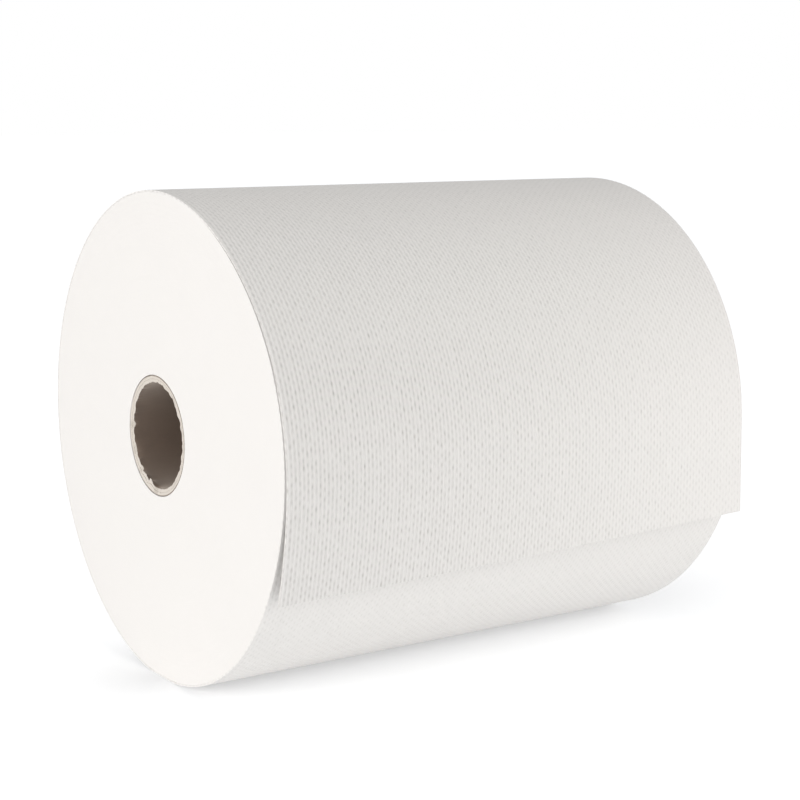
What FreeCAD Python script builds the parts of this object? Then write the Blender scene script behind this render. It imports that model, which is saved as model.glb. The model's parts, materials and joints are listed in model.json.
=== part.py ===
import FreeCAD, Part
import math
import os

# A paper towel roll that lies on its side: one embossed web wound on a cardboard core,
# with the web's loose end hanging down the front.
# The origin is the middle of the core's bore. X runs along the roll, Z is up and the
# loose end hangs at -Y. Sizes are in millimetres and angles in degrees.
# An angle round the roll is 0 at the front (-Y) and 90 at the top.

# Winding. The soft winding sits a little low and forward on its core.
roll_width = 203.0
winding_radius = 90.0
sheet = 0.5
turn_gap = 0.15
winding_drop = 1.5
winding_lean = 0.85
rest_width = 20.0

# Turns on the end faces. A spiral line marks where each band of turns was laid.
band_pitch = 9.5
band_line_width = 0.4
band_line_depth = 0.3

# Core
bore_diameter = 39.0
core_wall = 2.5
core_inset = 0.1
core_clearance = 0.2

# Loose end. It leaves the winding, runs slack beside it, then hangs with a weaker curl.
# Its cut edge isn't square, so each end of the roll has its own slack, curl and hang.
leave_angle = 19.0
near_slack = 13.0
near_slack_turn = 21.0
near_curl_radius = 170.0
near_hang = 34.5
far_slack = 0.3
far_slack_turn = 17.5
far_curl_radius = 2500.0
far_hang = 37.3

half_width = roll_width / 2
core_radius = bore_diameter / 2 + core_wall
turn_step = sheet + turn_gap
winding_centre = FreeCAD.Vector(0, -winding_lean, -winding_drop)


def outward(angle):
    """Unit vector from the roll's axis towards an angle round it."""
    return FreeCAD.Vector(0, -math.cos(math.radians(angle)), math.sin(math.radians(angle)))


def arc(centre, radius, start, end):
    """Arc in a section of the roll, from one angle to another."""
    angles = (start, (start + end) / 2, end)
    return Part.Arc(*[centre + outward(angle) * radius for angle in angles]).toShape()


def line(start, end):
    return Part.LineSegment(start, end).toShape()


def spiral(radius, pitch, half_turns):
    """Half turns of a two-centre spiral that starts where the loose end leaves.

    It winds inwards over the top by one pitch a turn. Each half turn is its centre,
    radius, first angle and last angle.
    """
    turns = []
    for index in range(half_turns):
        side = (-1) ** index
        centre = winding_centre + outward(leave_angle) * (side * pitch / 4)
        start = leave_angle + 180 * index
        turns.append((centre, radius - pitch / 4 - index * pitch / 2, start, start + 180))
    return turns


def winding():
    """The wound web, whose outer turn ends in a step where the loose end leaves it."""
    edges = [arc(*turn) for turn in spiral(winding_radius, turn_step, 2)]
    step = line(edges[1].lastVertex().Point, edges[0].firstVertex().Point)
    face = Part.Face(Part.Wire(edges + [step]))
    face.translate(FreeCAD.Vector(-half_width, 0, 0))
    return face.extrude(FreeCAD.Vector(roll_width, 0, 0))


def loose_section(x, slack, slack_turn, curl_radius, hang):
    """Closed section of the loose end: a slack arc, a curl arc, and back along the inner side."""
    slack_radius = winding_radius + slack
    slack_end = leave_angle - slack_turn
    hang_end = slack_end - math.degrees(hang / curl_radius)
    slack_centre = winding_centre - outward(leave_angle) * slack
    curl_centre = slack_centre - outward(slack_end) * (curl_radius - slack_radius)
    outer = [
        arc(slack_centre, slack_radius, leave_angle, slack_end),
        arc(curl_centre, curl_radius, slack_end, hang_end),
    ]
    inner = [
        arc(slack_centre, slack_radius - sheet, leave_angle, slack_end),
        arc(curl_centre, curl_radius - sheet, slack_end, hang_end),
    ]
    tip = line(outer[1].lastVertex().Point, inner[1].lastVertex().Point)
    root = line(inner[0].firstVertex().Point, outer[0].firstVertex().Point)
    section = Part.Wire([outer[0], outer[1], tip, inner[1], inner[0], root])
    section.translate(FreeCAD.Vector(x, 0, 0))
    return section


def loose_end():
    """The web's loose end, ruled from its section at one end of the roll to the other."""
    near = loose_section(-half_width, near_slack, near_slack_turn, near_curl_radius, near_hang)
    far = loose_section(half_width, far_slack, far_slack_turn, far_curl_radius, far_hang)
    return Part.makeLoft([near, far], True, True)


def below_rest():
    """Block under the small flat spot that the soft winding rests on."""
    centre, radius = spiral(winding_radius, turn_step, 2)[1][:2]
    rest_height = centre.z - math.sqrt(radius ** 2 - (rest_width / 2) ** 2)
    corner = FreeCAD.Vector(-roll_width, centre.y - winding_radius, rest_height - winding_radius)
    return Part.makeBox(2 * roll_width, 2 * winding_radius, winding_radius, corner)


def band_lines():
    """Spiral groove of each end face, from the outermost band of turns in towards the core."""
    start_radius = winding_radius - turn_step - band_pitch / 2
    half_turns = int(2 * (start_radius - core_radius) / band_pitch) - 1
    turns = spiral(start_radius, band_pitch, half_turns)
    outer = [arc(*turn) for turn in turns]
    inner = [arc(centre, radius - band_line_width, start, end) for centre, radius, start, end in turns]
    tip = line(outer[-1].lastVertex().Point, inner[-1].lastVertex().Point)
    root = line(inner[0].firstVertex().Point, outer[0].firstVertex().Point)
    face = Part.Face(Part.Wire(outer + [tip] + inner[::-1] + [root]))
    grooves = []
    for side in (-1, 1):
        groove = face.copy()
        groove.translate(FreeCAD.Vector(side * half_width, 0, 0))
        grooves.append(groove.extrude(FreeCAD.Vector(-side * band_line_depth, 0, 0)))
    return grooves


def axial_cylinder(radius, length):
    """Cylinder along the roll, centred on the origin."""
    return Part.makeCylinder(radius, length, FreeCAD.Vector(-length / 2, 0, 0), FreeCAD.Vector(1, 0, 0))


def paper_roll():
    roll = winding().fuse(loose_end())
    core_hole = axial_cylinder(core_radius + core_clearance, 2 * roll_width)
    for tool in [below_rest(), core_hole] + band_lines():
        roll = roll.cut(tool)
    return roll.removeSplitter()


def core_tube():
    length = roll_width - 2 * core_inset
    return axial_cylinder(core_radius, length).cut(axial_cylinder(bore_diameter / 2, 2 * length))


def export(name, shape):
    """Writes one sub-part, which has to be a single valid solid."""
    if len(shape.Solids) != 1 or not shape.isValid():
        raise ValueError(name + " isn't one valid solid")
    shape.Solids[0].exportStep("parts/" + name + ".step")
    print(name, round(shape.Volume), "mm3")


os.makedirs("parts", exist_ok=True)
export("paper_roll", paper_roll())
export("core_tube", core_tube())
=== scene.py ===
"""Paper towel roll: the embossed web on its cardboard core, laid out as a Blender add-on.

Lengths are in metres. X runs along the roll, Z is up and the loose end hangs at -Y.
An angle round the roll is 0 at the front (-Y) and a quarter turn at the top.
"""

import json
import math

import bmesh
import bpy
from bpy.props import FloatProperty, FloatVectorProperty, IntProperty, PointerProperty
from mathutils import Euler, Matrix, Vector, noise


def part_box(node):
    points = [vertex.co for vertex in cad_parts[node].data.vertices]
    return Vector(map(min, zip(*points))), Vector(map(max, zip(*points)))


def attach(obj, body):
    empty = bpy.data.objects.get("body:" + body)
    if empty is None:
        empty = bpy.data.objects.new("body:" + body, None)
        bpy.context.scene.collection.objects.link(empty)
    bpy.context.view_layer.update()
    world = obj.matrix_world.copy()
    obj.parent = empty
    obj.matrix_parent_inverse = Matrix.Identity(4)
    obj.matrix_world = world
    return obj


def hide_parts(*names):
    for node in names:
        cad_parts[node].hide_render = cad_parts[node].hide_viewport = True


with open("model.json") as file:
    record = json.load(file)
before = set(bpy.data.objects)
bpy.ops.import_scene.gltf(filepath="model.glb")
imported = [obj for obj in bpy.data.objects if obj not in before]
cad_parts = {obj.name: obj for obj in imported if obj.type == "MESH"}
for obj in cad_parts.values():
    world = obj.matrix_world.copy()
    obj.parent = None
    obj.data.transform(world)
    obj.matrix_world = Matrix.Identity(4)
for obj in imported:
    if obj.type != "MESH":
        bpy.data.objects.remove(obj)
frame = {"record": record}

bl_info = {
    "name": "Paper towel roll",
    "version": (1, 0, 0),
    "blender": (4, 5, 0),
    "location": "3D View > Sidebar > Towel roll",
    "description": "Builds a wound roll of embossed paper towel on a cardboard core",
    "category": "Add Mesh",
}

MM = 0.001

# Shares of the pits and of the ribs between their columns in the embossing, where the web is
# free and where the winding presses it.
FREE_WAVE, FREE_RIB = 0.14, 0.5
PRESSED_WAVE, PRESSED_RIB = 0.34, 0.38
# Embossing lower than PIT_FLOOR gets painted shade: the pit colour stands in for the shade in the
# pits.
# Noise sets the strength of each pit's painted shade, which is noise * PIT_SPREAD - PIT_SHIFT, and
# PIT_LEAST or more.
PIT_FLOOR = 0.02
PIT_SPREAD, PIT_SHIFT, PIT_LEAST = 2.4, 0.4, 0.1
# Gap between the outer turn's inner face and the turn below it.
TOUCHING = 0.02 * MM
# Where the outer turn lifts, its edge thins by this share of the lift: the air below it opens.
LIFT_THINS = 0.7
# How steeply the winding's bulge and settling fade from its outside to the core.
SETTLING = 6
# How far in each turn's edge lies on the end faces: a middle share, then noises, each with its
# scale per turn, seed and share.
WANDER_MIDDLE = 0.5
WANDER = ((0.11, 3.7, 0.4), (0.83, 9.1, 0.25))

# Noise scales, per metre.
UNEVEN_PITS, UNEVEN_PATCHES = 420.0, 45.0
PAPER_FIBRES, PAPER_CLOUDS = 2600.0, 90.0
EDGE_FIBRES, EDGE_CLOUDS = 3200.0, 35.0
BOARD_FIBRES, BOARD_CLOUDS = 1800.0, 160.0
# Scales of an axis that make the noise longer along the fibres.
EDGE_STRETCH = (0.3, 1.0, 1.0)
BOARD_STRETCH = (0.4, 1.0, 1.0)
# Shares of each noise in a surface's tone, and of the fibres in its relief.
PAPER_TONE, EDGE_TONE, BOARD_TONE = 0.5, 0.4, 0.5
PAPER_FUZZ, BOARD_FUZZ = 0.12, 0.15
SEAM_SHADE = 0.8
BOARD_SHADE = 0.7
EDGE_RELIEF = 0.08 * MM
BOARD_RELIEF = 0.3 * MM

# Distances from a cut end of the core to the rings of its bore, in millimetres.
CORE_RINGS = (0.0, 0.2, 0.5, 0.9, 1.4, 2.0, 3.0, 4.5, 7.0, 12.0, 25.0, 60.0)
# The core's faces that look along the roll at least this much show the cut plies.
CUT_FACING = 0.8
# Noise round the cut ends of the core: its ragged edge, its fibres and its rise and fall.
RAGGED_ROUND, RAGGED_SCALE, RAGGED_SEED = 3, 4, 7.0
RAGGED_FRACTAL = (0.6, 2.2, 4)
FIBRE_ROUND, FIBRE_SEED = 30, 3.0
BACK_ROUND, BACK_SEED = 9, 2.0
# Torn places of the core's near end: angle round it and half spread in degrees, then how far
# the inner ply leans in and is torn back, in millimetres.
NEAR_END_TEARS = (
    (254, 7, 2.2, -0.6),
    (265, 5, -0.6, 1.1),
    (238, 7, 0.9, -0.2),
    (226, 4, -0.3, 0.8),
    (204, 12, -0.6, 0.5),
    (176, 4, -0.4, 0.9),
    (160, 12, 0.6, -0.2),
    (32, 6, 0.5, 0.0),
)

# Edges sharper than EDGE_ANGLE stay sharp, corners closer than WELD become one, and corners
# closer than CUT_TOLERANCE to the loose end's cut lie on it.
EDGE_ANGLE = math.radians(50)
WELD = 0.001 * MM
CUT_TOLERANCE = 1e-7

# Directions of the two side lamps from the roll.
KEY_FROM = (-1.0, -0.15, 0.12)
FILL_FROM = (0.44, -0.87, 0.06)
TABLE_CLEARANCE = 0.2 * MM
FLOOR_REACH = 12.0
SENSOR_WIDTH = 36.0

ROLL_NODE = "paper_roll"
CORE_NODE = "core_tube"
BORE = next(mount for mount in frame["record"]["mounts"] if mount["name"] == "core_bore")
BORE_RADIUS = BORE["dims"]["r_mm"] * MM
ROLL_LOW, ROLL_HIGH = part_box(ROLL_NODE)
CORE_LOW, CORE_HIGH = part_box(CORE_NODE)


def length(name, default, description):
    """A length that a user may change, in metres."""
    return FloatProperty(
        name=name, default=default, min=0.0, unit="LENGTH", precision=5, description=description
    )


def turn_angle(name, degrees, description):
    """An angle that a user may change."""
    return FloatProperty(
        name=name, default=math.radians(degrees), subtype="ANGLE", description=description
    )


def colour(name, default, description):
    """A colour that a user may change."""
    return FloatVectorProperty(
        name=name, default=default, size=3, min=0.0, max=1.0, subtype="COLOR",
        description=description,
    )


def share(name, default, description):
    """A share or a level of light that a user may change."""
    return FloatProperty(
        name=name, default=default, min=0.0, soft_max=1.0, description=description
    )


class WebSettings(bpy.types.PropertyGroup):
    """The paper web: how it is wound, how its loose end hangs and how it is embossed."""

    radius: length("Winding radius", 90.0 * MM, "Outside of the winding at the leave line")
    drop: length("Drop", 1.5 * MM, "How far the soft winding sits below its core")
    lean: length("Lean", 0.85 * MM, "How far the soft winding sits in front of its core")
    bulge: length("Bulge", 1.9 * MM, "How far the soft winding bulges in front at its near end")
    bulge_angle: turn_angle("Bulge angle", 12.0, "Middle of the bulge, above the front")
    bulge_spread: turn_angle("Bulge spread", 45.0, "How far the bulge reaches up and down")
    sheet: length("Sheet", 0.5 * MM, "Thickness of the embossed sheet")
    turn_gap: length("Turn gap", 0.15 * MM, "Air between two turns")
    leave_angle: turn_angle("Leave angle", 19.0, "Where the loose end leaves, above the front")
    tuck: turn_angle("Tuck", 3.0, "How far the outer turn runs on under the loose end")
    near_slack: length("Near slack", 13.0 * MM, "Extra radius of the slack stretch, near end")
    near_slack_turn: turn_angle("Near slack turn", 21.0, "Turn of the slack stretch, near end")
    near_curl: length("Near curl", 170.0 * MM, "Curl radius of the hanging stretch, near end")
    near_hang: length("Near hang", 34.5 * MM, "Length of the hanging stretch, near end")
    far_slack: length("Far slack", 0.3 * MM, "Extra radius of the slack stretch, far end")
    far_slack_turn: turn_angle("Far slack turn", 17.5, "Turn of the slack stretch, far end")
    far_curl: length("Far curl", 2500.0 * MM, "Curl radius of the hanging stretch, far end")
    far_hang: length("Far hang", 37.3 * MM, "Length of the hanging stretch, far end")
    column_pitch: length("Column pitch", 1.56 * MM, "Distance between two columns of pits")
    row_pitch: length("Row pitch", 1.515 * MM, "Distance between two rows of pits")
    pit_depth: length("Pit depth", 0.26 * MM, "Depth of an embossed pit below its ribs")
    pressed: share("Pressed", 0.35, "Share of the embossing that wound turns keep")
    press_reach: length("Press reach", 58.0 * MM, "How far the stronger embossing runs on")
    far_press: share("Far press", 1.0, "How much flatter the embossing is at the far end")
    unevenness: share("Unevenness", 0.45, "How much the depth of the pits varies")
    core_gap: length("Core gap", 0.2 * MM, "Gap between the core and the first turn")
    lift: length("Lift", 0.5 * MM, "How far the near edge stands off where the loose end leaves")
    lift_above: length("Lift above", 75.0 * MM, "How far above the leave line the lift starts")
    lift_below: length("Lift below", 80.0 * MM, "How far below the leave line the lift ends")
    end_relief: length("End relief", 0.07 * MM, "Depth of the line between two turns' edges")
    end_wander: length("End wander", 0.12 * MM, "How far turns lie in or out on the end faces")
    turn_segments: IntProperty(
        name="Turn segments", default=120, min=24, description="Facets in a turn of the end faces"
    )
    paper: colour("Paper", (0.905, 0.887, 0.865), "Colour of the paper")
    shade: colour("Shade", (0.86, 0.845, 0.825), "Colour of the paper's duller fibres")
    # Painted shade: the pits take this darker colour in place of the shade that falls in them.
    pit: colour("Pit", (0.60, 0.585, 0.56), "Colour of the deepest embossed pits")
    bump: length("Bump", 0.31 * MM, "Depth of the pits in the surface's shading")


class CoreSettings(bpy.types.PropertyGroup):
    """The cardboard core: a spiral wound tube with torn plies at its near end."""

    seam_width: length("Seam width", 0.5 * MM, "Butt gap of the inner ply's spiral seam")
    seam_advance: length("Seam advance", 95.0 * MM, "How far the seam runs along in a turn")
    facets: IntProperty(name="Facets", default=288, min=24, description="Facets round the core")
    ply_radius: length("Ply radius", 20.7 * MM, "Radius of the gap between the board's plies")
    ply_gap: length("Ply gap", 0.08 * MM, "Width of the gap between two plies")
    ply_gap_depth: length("Ply gap depth", 0.2 * MM, "Depth of the gap between two plies")
    edge_rounding: length("Edge rounding", 0.3 * MM, "Rounding of the cut ends' outer edge")
    fray: length("Fray", 0.3 * MM, "Unevenness of the cut end")
    fibre: length("Fibre", 0.15 * MM, "Fine raggedness of the inner ply's edge")
    recess: length("Recess", 0.4 * MM, "How far the inner ply lies in from the cut end")
    tear_depth: length("Tear depth", 4.0 * MM, "How far in the torn end reaches")
    liner: colour("Liner", (0.215, 0.152, 0.112), "Colour of the inner ply")
    cut_edge: colour("Cut edge", (0.80, 0.745, 0.67), "Colour of the cut plies")
    fuzz: colour("Fuzz", (0.82, 0.74, 0.67), "Colour of the board's loose fibres")


class StageSettings(bpy.types.PropertyGroup):
    """Camera, lamps, floor and surroundings."""

    camera_place: FloatVectorProperty(
        name="Camera place", default=(-0.38107, -0.57253, 0.11704), size=3, unit="LENGTH",
        description="Where the camera stands",
    )
    camera_yaw: turn_angle("Camera yaw", 33.98, "Turn of the camera from +Y towards +X")
    camera_pitch: turn_angle("Camera pitch", 9.35, "Slope of the camera's view below the horizon")
    camera_lens: FloatProperty(
        name="Lens", default=79.85, min=1.0, description="Focal length in mm on a 36 mm sensor"
    )
    key_level: share("Key level", 0.51, "Light of the lamp beside the near end")
    key_reach: length("Key reach", 1.6, "Distance of the lamp beside the near end")
    fill_level: share("Fill level", 0.308, "Light of the lamp in front")
    fill_reach: length("Fill reach", 0.8, "Distance of the lamp in front")
    lamp_spread: share("Lamp spread", 0.81, "Width of these lamps as a share of their distance")
    lamp_colour: colour("Lamp colour", (1.0, 0.965, 0.93), "Colour of these lamps")
    table_level: share("Table level", 0.17, "Light from below")
    table_size: length("Table size", 1.4, "Width of the white table")
    world_level: share("World level", 0.56, "Light from all round")
    floor_glow: share("Floor glow", 0.50, "White that the camera sees on top of the lit floor")
    # Painted shadow: near the roll the white glow drops to shadow_glow, over shadow_reach.
    shadow_glow: share("Shadow glow", 0.05, "The same, where the roll touches the floor")
    shadow_reach: length("Shadow reach", 45.0 * MM, "How far the roll's soft shadow reaches")
    floor: colour("Floor", (0.945, 0.96, 0.98), "Colour of the floor")


class Signal:
    """A shader value. Python's arithmetic on it adds Math nodes."""

    def __init__(self, shader, socket):
        self.shader = shader
        self.socket = socket

    def math(self, operation, *values):
        return self.shader.math(operation, *values)

    def __add__(self, other):
        return self.math("ADD", self, other)

    def __radd__(self, other):
        return self.math("ADD", other, self)

    def __sub__(self, other):
        return self.math("SUBTRACT", self, other)

    def __rsub__(self, other):
        return self.math("SUBTRACT", other, self)

    def __mul__(self, other):
        return self.math("MULTIPLY", self, other)

    def __rmul__(self, other):
        return self.math("MULTIPLY", other, self)

    def __truediv__(self, other):
        return self.math("DIVIDE", self, other)

    def cosine(self):
        return self.math("COSINE", self)

    def at_least(self, limit):
        return self.math("MAXIMUM", self, limit)


class Shader:
    """The nodes of a material or world, added one by one."""

    def __init__(self, tree):
        self.tree = tree
        self.tree.nodes.clear()

    def node(self, kind, settings=None, inputs=None, output=0):
        """Adds a node, its settings first and then the values or links of its sockets."""
        made = self.tree.nodes.new("ShaderNode" + kind)
        for name, value in (settings or {}).items():
            setattr(made, name, value)
        for key, value in (inputs or {}).items():
            if isinstance(value, Signal):
                self.tree.links.new(value.socket, made.inputs[key])
            else:
                made.inputs[key].default_value = value
        return Signal(self, made.outputs[output]) if made.outputs else None

    def math(self, operation, *values):
        return self.node("Math", {"operation": operation}, dict(enumerate(values)))

    def blend(self, factor, first, second):
        """Mixes two colours."""
        return self.node("Mix", {"data_type": "RGBA"}, {0: factor, 6: first, 7: second}, output=2)

    def parts(self, vector):
        """The x, y and z of a vector."""
        return [self.node("SeparateXYZ", None, {0: vector}, output=axis) for axis in "XYZ"]

    def speckle(self, vector, scale, detail):
        return self.node("TexNoise", None, {"Vector": vector, "Scale": scale, "Detail": detail})

    def in_view(self):
        """1 for what the camera sees, straight or in gloss or glass, and 0 for other light."""
        rays = ("Is Camera Ray", "Is Glossy Ray", "Is Transmission Ray")
        kinds = [self.node("LightPath", output=ray) for ray in rays]
        return kinds[0].at_least(kinds[1]).at_least(kinds[2])

    def finish(self, kind, surface):
        self.node(kind, None, {"Surface": surface})


def part_way(first, second, amount):
    """A value between two, for numbers and for shader values."""
    return first + (second - first) * amount


def opaque(rgb):
    return (*rgb, 1.0)


def grey(level):
    return (level, level, level, 1.0)


def new_shader(name):
    material = bpy.data.materials.new(name)
    material.use_nodes = True
    return material, Shader(material.node_tree)


def sheet_paper(web, shape):
    """Embossed face of the web, with painted shade in its pits. Its UV map holds metres along the
    roll and along the web.
    """
    material, shader = new_shader("embossed_paper")
    flat = shader.node("UVMap", {"uv_map": "web"})
    along, run, _ = shader.parts(flat)
    wave = (along * (math.pi / shape.column)).cosine()
    wave = wave * (run * (math.pi / web.row_pitch)).cosine()
    rib = (along * (2 * math.pi / shape.column)).cosine() * -1
    fibres = shader.speckle(flat, PAPER_FIBRES, 3.0)
    clouds = shader.speckle(flat, PAPER_CLOUDS, 2.0)
    single = shader.speckle(flat, UNEVEN_PITS, 0.0)
    free = shader.math("EXPONENT", run.at_least(0.0) / -web.press_reach)
    course = along / shape.width
    free = free * (1 - course * course * web.far_press)
    kept = part_way(web.pressed, 1.0, free)
    pitted = wave * part_way(PRESSED_WAVE, FREE_WAVE, free)
    emboss = pitted + rib * part_way(PRESSED_RIB, FREE_RIB, free)
    # Painted shade: pits darkens the base colour towards the pit colour, standing in for the shade
    # in the pits.
    strength = (single * PIT_SPREAD - PIT_SHIFT).at_least(PIT_LEAST)
    pits = (-PIT_FLOOR - emboss).at_least(0.0) * strength * kept
    relief = emboss * kept + fibres * PAPER_FUZZ
    tone = fibres * PAPER_TONE + clouds * PAPER_TONE
    plain = shader.blend(tone, opaque(web.paper), opaque(web.shade))
    normal = shader.node("Bump", None, {"Strength": 1.0, "Distance": web.bump, "Height": relief})
    surface = shader.node("BsdfPrincipled", None, {
        "Base Color": shader.blend(pits, plain, opaque(web.pit)),
        "Roughness": 0.9,
        "Specular IOR Level": 0.2,
        "Normal": normal,
    })
    shader.finish("OutputMaterial", surface)
    return material


def wound_paper(web):
    """Cut edges of the turns. Its UV map holds metres along the web and across the turns."""
    material, shader = new_shader("wound_paper")
    flat = shader.node("UVMap", {"uv_map": "web"})
    stretched = shader.node("Mapping", None, {"Vector": flat, "Scale": EDGE_STRETCH})
    fibres = shader.speckle(stretched, EDGE_FIBRES, 3.0)
    clouds = shader.speckle(shader.node("TexCoord", output="Object"), EDGE_CLOUDS, 3.0)
    tone = fibres * EDGE_TONE + clouds * EDGE_TONE
    bump = {"Strength": 0.4, "Distance": EDGE_RELIEF, "Height": fibres}
    normal = shader.node("Bump", None, bump)
    surface = shader.node("BsdfPrincipled", None, {
        "Base Color": shader.blend(tone, opaque(web.paper), opaque(web.shade)),
        "Roughness": 0.95,
        "Specular IOR Level": 0.15,
        "Normal": normal,
    })
    shader.finish("OutputMaterial", surface)
    return material


def board(name, core, rgb, roughness, seam=None):
    """Board with fibres and darker clouds, and with a spiral seam where it has one."""
    material, shader = new_shader(name)
    place = shader.node("TexCoord", output="Object")
    stretched = shader.node("Mapping", None, {"Vector": place, "Scale": BOARD_STRETCH})
    fibres = shader.speckle(stretched, BOARD_FIBRES, 4.0)
    clouds = shader.speckle(place, BOARD_CLOUDS, 3.0)
    tone = fibres * BOARD_TONE + clouds * BOARD_TONE
    relief = fibres * BOARD_FUZZ
    if seam:
        line = seam(shader, place)
        tone = tone + line * SEAM_SHADE
        relief = relief - line
    dark = opaque([BOARD_SHADE * value for value in rgb])
    bump = {"Strength": 0.6, "Distance": BOARD_RELIEF, "Height": relief}
    normal = shader.node("Bump", None, bump)
    surface = shader.node("BsdfPrincipled", None, {
        "Base Color": shader.blend(tone, opaque(rgb), dark),
        "Roughness": roughness,
        "Specular IOR Level": 0.4,
        "Sheen Weight": 1.0,
        "Sheen Roughness": 0.6,
        "Sheen Tint": opaque(core.fuzz),
        "Normal": normal,
    })
    shader.finish("OutputMaterial", surface)
    return material


def core_liner(core):
    """The core's inner ply."""

    def seam(shader, place):
        """1 on the butt joint that winds along the bore, and 0 beside it."""
        x, y, z = shader.parts(place)
        turn = shader.math("ARCTAN2", z, y) / math.tau + x / core.seam_advance
        away = shader.math("ABSOLUTE", shader.math("FRACT", turn) - 0.5) * core.seam_advance
        return shader.math("LESS_THAN", away, core.seam_width / 2)

    return board("core_liner", core, core.liner, 0.5, seam)


def core_cut_edge(core):
    """The cut plies at the core's ends."""
    return board("core_cut_edge", core, core.cut_edge, 0.9)


def outward(angle):
    """Unit vector from the roll's axis towards an angle round it."""
    return Vector((0.0, -math.cos(angle), math.sin(angle)))


class WebShape:
    """Where the web runs: its loose end, its outer turn and its wound turns."""

    def __init__(self, web):
        self.web = web
        self.near = ROLL_LOW.x
        self.width = ROLL_HIGH.x - ROLL_LOW.x
        self.rest = ROLL_LOW.z
        self.centre = Vector((0.0, -web.lean, -web.drop))
        self.hole = CORE_HIGH.z + web.core_gap
        self.turns = round((web.radius - self.hole) / (web.sheet + web.turn_gap))
        self.step = (web.radius - self.hole) / self.turns
        self.columns = 2 * round(self.width / web.column_pitch)
        self.column = 2 * self.width / self.columns
        self.turn_rows = math.ceil((math.tau + web.tuck) * web.radius / web.row_pitch)

    def embossing(self, along, run):
        """Height of the embossing, a distance along the roll and along the web."""
        wave = math.cos(math.pi * along / self.column)
        wave *= math.cos(math.pi * run / self.web.row_pitch)
        rib = -math.cos(2 * math.pi * along / self.column)
        single = noise.noise(Vector((along, run, 0.0)) * UNEVEN_PITS)
        patch = noise.noise(Vector((along, run, 5.0)) * UNEVEN_PATCHES)
        uneven = 1 + self.web.unevenness * (single + patch)
        free = self.free(along, run)
        wave *= part_way(PRESSED_WAVE, FREE_WAVE, free)
        rib *= part_way(PRESSED_RIB, FREE_RIB, free)
        depth = self.web.pit_depth * part_way(self.web.pressed, 1.0, free)
        return depth * uneven * (wave + rib)

    def free(self, along, run):
        """1 where the web keeps its embossing, as at the loose end, and 0 where it is pressed."""
        wound = math.exp(-max(run, 0.0) / self.web.press_reach)
        return wound * (1 - self.web.far_press * (along / self.width) ** 2)

    def turn(self, run):
        """Turns of winding in a length of web, counted from where the loose end leaves."""
        return run / (math.tau * self.web.radius)

    def outer_radius(self, turn):
        return self.web.radius - self.step * turn

    def bulged(self, point):
        """The point after the soft winding has bulged out in front, most at its near end."""
        web = self.web
        spoke = point - self.centre
        spoke.x = 0.0
        angle = math.atan2(spoke.z, -spoke.y)
        away = math.remainder(angle - web.bulge_angle, math.tau) / web.bulge_spread
        if abs(away) >= 1:
            return point
        along = (point.x - self.near) / self.width
        swell = web.bulge * math.cos(away * math.pi / 2) ** 2 * (1 - along)
        return point + spoke.normalized() * swell * min(spoke.length / web.radius, 1.0) ** SETTLING

    def settled(self, point):
        """The point after the soft winding has settled on its flat spot."""
        spoke = point - self.centre
        spoke.x = 0.0
        angle = math.atan2(spoke.z, -spoke.y)
        turn = ((angle - self.web.leave_angle) / math.tau) % 1.0
        outer = self.outer_radius(turn)
        lift = max(0.0, self.rest - self.centre.z - outer * spoke.z / spoke.length)
        return point + Vector((0.0, 0.0, lift * (spoke.length / outer) ** SETTLING))

    def wound(self, x, turn, depth):
        """Point of a wound turn, a depth below the web's outer face.

        The turns are round the core near it, and move to the winding's own centre outwards.
        """
        angle = self.web.leave_angle + math.tau * turn
        radius = max(self.outer_radius(turn) - depth, self.hole)
        away = (radius - self.hole) / (self.web.radius - self.hole)
        point = self.centre * min(away, 1.0) + outward(angle) * radius
        point.x = x
        return self.settled(self.bulged(point))

    def section(self, slack, slack_turn, curl, run, depth):
        """Point of the loose end's section at one end of the roll."""
        leave = self.web.leave_angle
        slack_radius = self.web.radius + slack
        slack_centre = self.centre - outward(leave) * slack
        slack_run = slack_radius * slack_turn
        if run < slack_run:
            return slack_centre + outward(leave - run / slack_radius) * (slack_radius - depth)
        slack_end = leave - slack_turn
        curl_centre = slack_centre - outward(slack_end) * (curl - slack_radius)
        return curl_centre + outward(slack_end - (run - slack_run) / curl) * (curl - depth)

    def loose(self, x, run, depth):
        """Point of the loose end, a distance down from where it leaves the winding."""
        web = self.web
        depth -= self.lifted(x - self.near, run)
        near = self.section(web.near_slack, web.near_slack_turn, web.near_curl, run, depth)
        far = self.section(web.far_slack, web.far_slack_turn, web.far_curl, run, depth)
        point = near.lerp(far, (x - self.near) / self.width)
        point.x = x
        return self.bulged(point)

    def lifted(self, along, down):
        """How far the outermost sheet stands off the roll, a distance below the leave line."""
        web = self.web
        course = (down + web.lift_above) / (web.lift_above + web.lift_below)
        if not 0 < course < 1:
            return 0.0
        return web.lift * math.sin(math.pi * course) * (1 - along / self.width)

    def loose_length(self, side):
        """Length of the loose end at the near end (0) or the far end (1) of the roll."""
        web = self.web
        if side == 0:
            return (web.radius + web.near_slack) * web.near_slack_turn + web.near_hang
        return (web.radius + web.far_slack) * web.far_slack_turn + web.far_hang

    def drawn_in(self, along, turn):
        """Place along the roll, with both edges of the web drawn in by the turn's recess."""
        inward = 1 - 2 * along / self.width
        return self.near + along + inward * self.end_recess(turn)

    def end_recess(self, turn):
        """How far the web's edge lies in from the roll's end, where the winder let it wander."""
        wander = WANDER_MIDDLE
        for scale, seed, part in WANDER:
            wander += part * noise.noise(Vector((turn * scale, seed, 0.0)))
        return self.web.end_wander * wander


def along_web(edge):
    """Whether an edge of the flat web runs along it."""
    span = edge.verts[1].co - edge.verts[0].co
    return abs(span.y) > abs(span.x)


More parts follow.
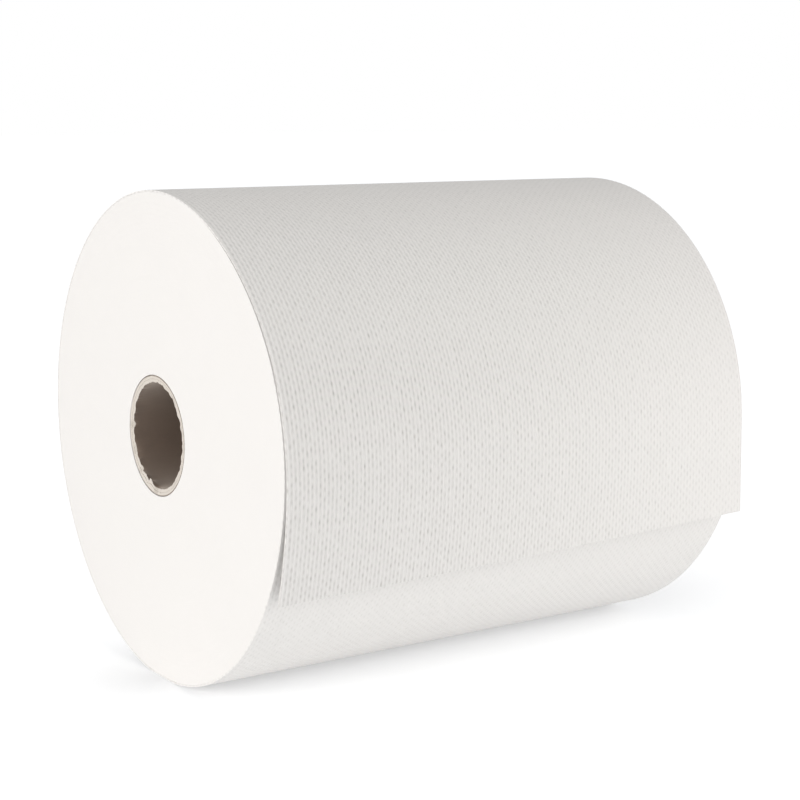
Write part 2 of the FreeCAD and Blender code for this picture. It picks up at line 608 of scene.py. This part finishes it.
def flat_web(rows, shape, first_row):
    """Grid in the flat web's plane: x along the roll and y along the web."""
    web = shape.web
    bm = bmesh.new()
    bmesh.ops.create_grid(bm, x_segments=shape.columns, y_segments=rows, size=0.5)
    for vert in bm.verts:
        vert.co.x = shape.near + (vert.co.x + 0.5) * shape.width
        vert.co.y = ((vert.co.y + 0.5) * rows + first_row) * web.row_pitch
    return bm


def store_flat_place(bm, near):
    """Keeps each corner's place in the flat web as its UV."""
    layer = bm.loops.layers.uv.new("web")
    for face in bm.faces:
        for loop in face.loops:
            loop[layer].uv = (loop.vert.co.x - near, loop.vert.co.y)


def split_beside_pits(bm):
    """Splits the embossed faces beside each pit, not across it, so all its sides are alike."""
    quads = [face for face in bm.faces if len(face.verts) == 4]
    bmesh.ops.triangulate(bm, faces=quads, quad_method="SHORT_EDGE")


def finished(bm, name, materials, *nodes):
    """Turns a bmesh into a piece that rides on the roll and stands for CAD nodes."""
    bmesh.ops.recalc_face_normals(bm, faces=bm.faces[:])
    mesh = bpy.data.meshes.new(name)
    bm.to_mesh(mesh)
    bm.free()
    mesh.shade_smooth()
    mesh.set_sharp_from_angle(angle=EDGE_ANGLE)
    for material in materials:
        mesh.materials.append(material)
    piece = bpy.data.objects.new(name, mesh)
    bpy.context.scene.collection.objects.link(piece)
    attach(piece, "root")
    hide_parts(*nodes)
    return piece


class TOWEL_OT_outer_turn(bpy.types.Operator):
    """Builds the outermost turn of the web, one embossed sheet thick"""

    bl_idname = "towel.outer_turn"
    bl_label = "Outer turn"

    def execute(self, context):
        web = context.scene.towel_web
        shape = WebShape(web)
        bm = flat_web(shape.turn_rows, shape, 0)
        embossed = set(bm.verts)
        sides = [edge for edge in bm.edges if edge.is_boundary and along_web(edge)]
        rim = bmesh.ops.extrude_edge_only(bm, edges=sides)["geom"]
        inner = [item for item in rim if isinstance(item, bmesh.types.BMEdge)]
        inner = [edge for edge in inner if edge.is_boundary and not embossed & set(edge.verts)]
        bmesh.ops.bridge_loops(bm, edges=inner)
        bmesh.ops.holes_fill(bm, edges=[edge for edge in bm.edges if edge.is_boundary], sides=0)
        store_flat_place(bm, shape.near)
        for vert in bm.verts:
            along, run = vert.co.x - shape.near, vert.co.y
            turn = shape.turn(run)
            lift = shape.lifted(along, -run)
            if vert in embossed:
                depth = -shape.embossing(along, run) - lift
            else:
                depth = shape.step - TOUCHING - lift * (1 + LIFT_THINS)
            vert.co = shape.wound(shape.drawn_in(along, turn), turn, depth)
            vert.co.z = max(vert.co.z, shape.rest)
        split_beside_pits(bm)
        piece = finished(bm, "outer_turn", [sheet_paper(web, shape)], ROLL_NODE)
        return {"FINISHED"}


class TOWEL_OT_loose_end(bpy.types.Operator):
    """Builds the web's loose end, embossed on both faces and cut a little askew"""

    bl_idname = "towel.loose_end"
    bl_label = "Loose end"

    def execute(self, context):
        web = context.scene.towel_web
        shape = WebShape(web)
        near_length = shape.loose_length(0)
        far_length = shape.loose_length(1)
        rows = math.ceil(max(near_length, far_length) / web.row_pitch)
        bm = flat_web(rows, shape, -rows)
        bmesh.ops.bisect_plane(
            bm,
            geom=bm.verts[:] + bm.edges[:] + bm.faces[:],
            dist=CUT_TOLERANCE,
            plane_co=(shape.near, -near_length, 0.0),
            plane_no=(near_length - far_length, -shape.width, 0.0),
            clear_outer=True,
        )
        store_flat_place(bm, shape.near)
        under = bmesh.ops.extrude_face_region(bm, geom=bm.faces[:])["geom"]
        under = {item for item in under if isinstance(item, bmesh.types.BMVert)}
        for vert in bm.verts:
            along, run = vert.co.x - shape.near, vert.co.y
            height = shape.embossing(along, run)
            depth = web.sheet - height if vert in under else -height
            vert.co = shape.loose(shape.drawn_in(along, shape.turn(run)), -run, depth)
        split_beside_pits(bm)
        piece = finished(bm, "loose_end", [sheet_paper(web, shape)], ROLL_NODE)
        return {"FINISHED"}


class TOWEL_OT_inner_winding(bpy.types.Operator):
    """Builds the turns below the outer one as one body, with every turn's edge on its ends"""

    bl_idname = "towel.inner_winding"
    bl_label = "Inner winding"

    def execute(self, context):
        web = context.scene.towel_web
        shape = WebShape(web)
        first = shape.turn(shape.turn_rows * web.row_pitch)
        segments = round((shape.turns - first) * web.turn_segments)
        bm = bmesh.new()
        bmesh.ops.create_grid(bm, x_segments=segments, y_segments=2, size=0.5)
        for vert in bm.verts:
            vert.co.x = round((vert.co.x + 0.5) * segments)
            vert.co.y = round(2 * (vert.co.y + 0.5)) / 2
        place = bm.verts.layers.float_vector.new("place")
        layer = bm.loops.layers.uv.new("web")
        for face in bm.faces:
            for loop in face.loops:
                turn = first + loop.vert.co.x / web.turn_segments
                run = math.tau * turn * (web.radius - shape.step * turn / 2)
                loop[layer].uv = (run, (turn + loop.vert.co.y) * shape.step)
        for vert in bm.verts:
            turn = first + vert.co.x / web.turn_segments
            across = vert.co.y
            recess = shape.end_recess(turn + across) + (0 if across == 0.5 else web.end_relief)
            vert[place] = (turn, across, recess)
            vert.co = shape.wound(shape.near + recess, turn, across * shape.step)
        bmesh.ops.remove_doubles(bm, verts=bm.verts[:], dist=WELD)
        far = bmesh.ops.extrude_face_region(bm, geom=bm.faces[:])["geom"]
        for item in far:
            if isinstance(item, bmesh.types.BMVert):
                turn, across, recess = item[place]
                item.co = shape.wound(shape.near + shape.width - recess, turn, across * shape.step)
        piece = finished(bm, "inner_winding", [wound_paper(web)], ROLL_NODE)
        return {"FINISHED"}


class TOWEL_OT_core(bpy.types.Operator):
    """Builds the cardboard core with its plies, spiral seam and torn near end"""

    bl_idname = "towel.core"
    bl_label = "Core"

    def execute(self, context):
        core = context.scene.towel_core
        bm = bmesh.new()
        outline = self.outline(core)
        verts = [bm.verts.new((x, 0.0, radius)) for x, radius in outline]
        edges = [bm.edges.new((verts[index - 1], verts[index])) for index in range(len(verts))]
        bmesh.ops.spin(
            bm, geom=verts + edges, cent=(0, 0, 0), axis=(1, 0, 0), angle=math.tau,
            steps=core.facets, use_merge=True, use_normal_flip=False, use_duplicate=False,
        )
        for face in bm.faces:
            face.material_index = 1 if abs(face.normal.x) > CUT_FACING else 0
        for vert in bm.verts:
            self.tear(vert, core)
        materials = [core_liner(core), core_cut_edge(core)]
        piece = finished(bm, "board_core", materials, CORE_NODE)
        return {"FINISHED"}

    @staticmethod
    def outline(core):
        """Half section of the wall: the bore, the far end, the outside and the near end."""
        near, far, outside = CORE_LOW.x, CORE_HIGH.x, CORE_HIGH.z
        ply, gap, depth = core.ply_radius, core.ply_gap / 2, core.ply_gap_depth
        rounded = core.edge_rounding
        points = [(near + ring * MM, BORE_RADIUS) for ring in CORE_RINGS]
        points += [(far - ring * MM, BORE_RADIUS) for ring in reversed(CORE_RINGS)]
        points += [(far, ply - gap), (far - depth, ply), (far, ply + gap)]
        points += [(far, outside - rounded), (far - rounded, outside)]
        points += [(near + rounded, outside), (near, outside - rounded)]
        points += [(near, ply + gap), (near + depth, ply), (near, ply - gap)]
        return points

    @staticmethod
    def tear(vert, core):
        """Frays the cut end, and turns its torn places in or back."""
        side = -1 if vert.co.x < 0 else 1
        depth = CORE_HIGH.x - side * vert.co.x
        if depth > core.tear_depth:
            return
        radius = math.hypot(vert.co.y, vert.co.z)
        angle = math.atan2(vert.co.z, -vert.co.y)
        fade = (1 - depth / core.tear_depth) ** 2
        inner = min(max((CORE_HIGH.z - radius) / (CORE_HIGH.z - BORE_RADIUS), 0.0), 1.0)
        across, up = math.cos(angle), math.sin(angle)
        place = Vector((RAGGED_ROUND * across, RAGGED_ROUND * up, RAGGED_SEED * side))
        ragged = noise.fractal(place * RAGGED_SCALE, *RAGGED_FRACTAL)
        place = Vector((FIBRE_ROUND * across, FIBRE_ROUND * up, FIBRE_SEED * side))
        inward = core.fray * ragged + core.fibre * noise.noise(place)
        place = Vector((angle * BACK_ROUND, radius / MM, BACK_SEED * side))
        back = core.fray * noise.noise(place) + core.recess
        if side < 0:
            for centre, spread, lean, torn in NEAR_END_TEARS:
                away = math.remainder(angle - math.radians(centre), math.tau)
                weight = max(0.0, 1 - (away / math.radians(spread)) ** 2)
                inward += weight * lean * MM
                back += weight * torn * MM
        along = vert.co.x - side * fade * inner * back
        vert.co = outward(angle) * (radius - fade * inner * inward)
        vert.co.x = along


class TOWEL_OT_stage(bpy.types.Operator):
    """Sets up the camera, the lamps, the floor and the white surroundings"""

    bl_idname = "towel.stage"
    bl_label = "Stage"

    def execute(self, context):
        scene = context.scene
        stage = scene.towel_stage
        self.camera(scene, stage)
        self.side_lamp(scene, "key_lamp", KEY_FROM, stage.key_reach, stage.key_level)
        self.side_lamp(scene, "fill_lamp", FILL_FROM, stage.fill_reach, stage.fill_level)
        self.table_lamp(scene, stage)
        self.floor(scene, stage)
        self.world(scene, stage)
        scene.view_settings.view_transform = "Standard"
        return {"FINISHED"}

    @staticmethod
    def camera(scene, stage):
        camera = bpy.data.objects.new("camera", bpy.data.cameras.new("camera"))
        scene.collection.objects.link(camera)
        camera.data.lens = stage.camera_lens
        camera.data.sensor_width = SENSOR_WIDTH
        camera.location = stage.camera_place
        camera.rotation_euler = Euler((math.pi / 2 - stage.camera_pitch, 0.0, -stage.camera_yaw))
        scene.camera = camera

    @staticmethod
    def disc_lamp(scene, name, size, energy):
        """A round lamp that the camera doesn't see."""
        data = bpy.data.lights.new(name, "AREA")
        data.shape = "DISK"
        data.size = size
        data.energy = energy
        lamp = bpy.data.objects.new(name, data)
        lamp.visible_camera = False
        scene.collection.objects.link(lamp)
        return lamp

    def side_lamp(self, scene, name, direction, reach, level):
        """A large soft lamp, turned to the roll, that gives a facing white surface its level."""
        stage = scene.towel_stage
        energy = level * (math.pi * reach) ** 2
        lamp = self.disc_lamp(scene, name, stage.lamp_spread * reach, energy)
        towards = Vector(direction).normalized()
        lamp.location = towards * reach
        lamp.rotation_euler = towards.to_track_quat("Z", "Y").to_euler()
        lamp.data.color = stage.lamp_colour

    def table_lamp(self, scene, stage):
        """The light of a white table round the roll, from below."""
        energy = stage.table_level * math.pi * (math.pi * stage.table_size ** 2 / 4)
        lamp = self.disc_lamp(scene, "table_lamp", stage.table_size, energy)
        lamp.location = (0.0, 0.0, ROLL_LOW.z + TABLE_CLEARANCE)
        lamp.rotation_euler = (math.pi, 0.0, 0.0)

    @staticmethod
    def floor(scene, stage):
        """A plain floor that looks white to the camera and keeps the roll's rendered shadow, with
        a soft shadow painted round the roll.
        """
        bm = bmesh.new()
        bmesh.ops.create_grid(bm, x_segments=1, y_segments=1, size=FLOOR_REACH)
        bmesh.ops.translate(bm, verts=bm.verts[:], vec=(0.0, 0.0, ROLL_LOW.z))
        mesh = bpy.data.meshes.new("floor")
        bm.to_mesh(mesh)
        bm.free()
        material, shader = new_shader("floor_paint")
        x, y, _ = shader.parts(shader.node("TexCoord", output="Object"))
        # Painted shadow: the glow that the camera sees fades from floor_glow to shadow_glow near
        # the roll, painting a soft shadow round it.
        beside = (shader.math("ABSOLUTE", x) - ROLL_HIGH.x).at_least(0.0)
        away = shader.math("SQRT", beside * beside + y * y)
        shadow = shader.math("EXPONENT", away / -stage.shadow_reach)
        glow = shader.blend(shadow, grey(stage.floor_glow), grey(stage.shadow_glow))
        seen = shader.blend(shader.in_view(), grey(0.0), glow)
        white = shader.node("Emission", None, {"Color": seen})
        paint = shader.node("BsdfDiffuse", None, {"Color": opaque(stage.floor)})
        surface = shader.node("AddShader", None, {0: paint, 1: white})
        shader.finish("OutputMaterial", surface)
        mesh.materials.append(material)
        floor = bpy.data.objects.new("floor", mesh)
        scene.collection.objects.link(floor)

    @staticmethod
    def world(scene, stage):
        """Even grey light, seen as white by the camera."""
        world = bpy.data.worlds.new("surroundings")
        world.use_nodes = True
        shader = Shader(world.node_tree)
        light = shader.blend(shader.in_view(), grey(stage.world_level), grey(1.0))
        shader.finish("OutputWorld", shader.node("Background", None, {"Color": light}))
        scene.world = world


class TOWEL_PT_panel(bpy.types.Panel):
    """Lists the roll's sizes and the operators that build it"""

    bl_idname = "TOWEL_PT_panel"
    bl_label = "Towel roll"
    bl_space_type = "VIEW_3D"
    bl_region_type = "UI"
    bl_category = "Towel roll"

    def draw(self, context):
        for operator in OPERATORS:
            self.layout.operator(operator.bl_idname)
        for group in SETTINGS:
            settings = getattr(context.scene, group)
            box = self.layout.box()
            for name in settings.__annotations__:
                box.prop(settings, name)


SETTINGS = {"towel_web": WebSettings, "towel_core": CoreSettings, "towel_stage": StageSettings}
OPERATORS = (
    TOWEL_OT_stage,
    TOWEL_OT_inner_winding,
    TOWEL_OT_outer_turn,
    TOWEL_OT_loose_end,
    TOWEL_OT_core,
)


def register():
    for name, settings in SETTINGS.items():
        bpy.utils.register_class(settings)
        setattr(bpy.types.Scene, name, PointerProperty(type=settings))
    for operator in OPERATORS:
        bpy.utils.register_class(operator)
    bpy.utils.register_class(TOWEL_PT_panel)


def unregister():
    bpy.utils.unregister_class(TOWEL_PT_panel)
    for operator in reversed(OPERATORS):
        bpy.utils.unregister_class(operator)
    for name, settings in SETTINGS.items():
        delattr(bpy.types.Scene, name)
        bpy.utils.unregister_class(settings)


def main():
    """Builds everything."""
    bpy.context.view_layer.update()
    register()
    bpy.ops.towel.stage()
    bpy.ops.towel.inner_winding()
    bpy.ops.towel.outer_turn()
    bpy.ops.towel.loose_end()
    bpy.ops.towel.core()


if __name__ == "__main__":
    main()
